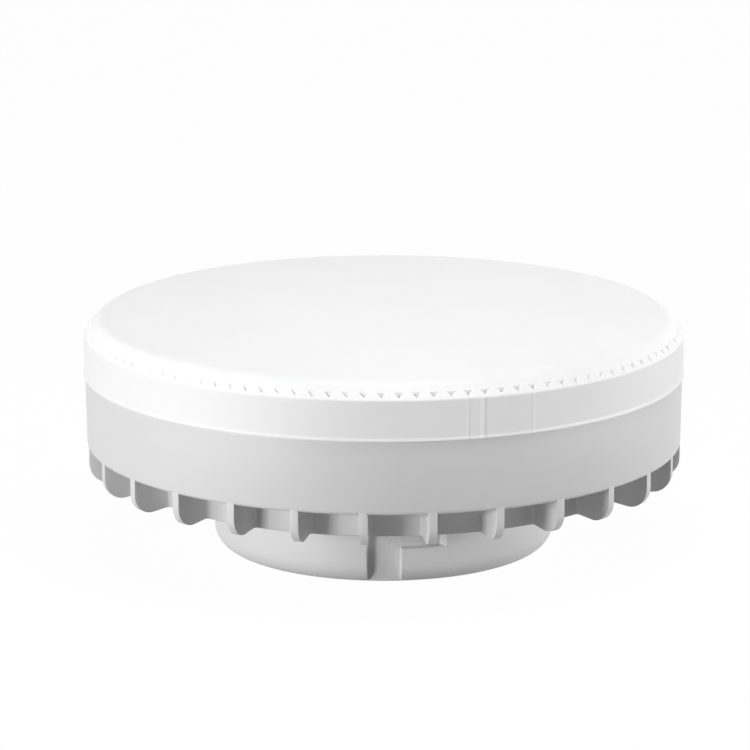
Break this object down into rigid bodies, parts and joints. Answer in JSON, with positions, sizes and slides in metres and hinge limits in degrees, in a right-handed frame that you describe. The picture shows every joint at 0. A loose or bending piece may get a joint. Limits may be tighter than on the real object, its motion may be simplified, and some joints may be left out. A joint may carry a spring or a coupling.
{
  "type": "led disc lamp",
  "caption": "Flat round led lamp with an opal cover, a white finned body and a slotted hub with cap pins for a twist-lock holder.",
  "frame": {"origin": "centre of the hub's foot, the lowest face of the lamp", "axes": "+Z along the lamp's axis towards the lit face, -Y through the front bayonet slot, pins on the X axis"},
  "size_m": [0.075, 0.075, 0.0295],
  "materials": {
    "opal": "satin opal",
    "white_body": "satin",
    "pin_metal": "nickel plated",
    "strip_metal": "plain",
    "spreader_metal": "pressed",
    "board_white": "white solder mask",
    "chip_body": "phosphor window",
    "screw_metal": "zinc plated",
    "board_green": "solder mask",
    "can_sleeve": "sleeved",
    "ferrite": "matt",
    "copper_wire": "enamelled",
    "film_case": "dipped",
    "varistor_coat": "coated",
    "resistor_coat": "coated",
    "chip_black": "moulded",
    "can_metal": "plain",
    "resistor_ceramic": "matt",
    "link_plastic": "moulded",
    "link_metal": "tinned"
  },
  "bodies": {
    "root": {"diffuser_cover": "opal", "body_shell": "white_body", "contact_pin_left": "pin_metal", "contact_pin_right": "pin_metal", "contact_strip_left": "strip_metal", "contact_strip_right": "strip_metal", "heat_spreader": "spreader_metal", "led_board": "board_white", "led_chips": "chip_body", "board_screws": "screw_metal", "driver_board": "board_green", "smoothing_capacitor": "can_sleeve", "choke_core": "ferrite", "choke_winding": "copper_wire", "film_capacitor": "film_case", "varistor": "varistor_coat", "fuse_resistor": "resistor_coat", "bridge_rectifier": "chip_black", "driver_chip": "chip_black", "freewheel_diode": "chip_black", "output_capacitor": "can_metal", "chip_resistors": "resistor_ceramic", "link_header": "link_plastic", "link_pins": "link_metal", "link_socket": "link_plastic"}
  },
  "joints": []
}
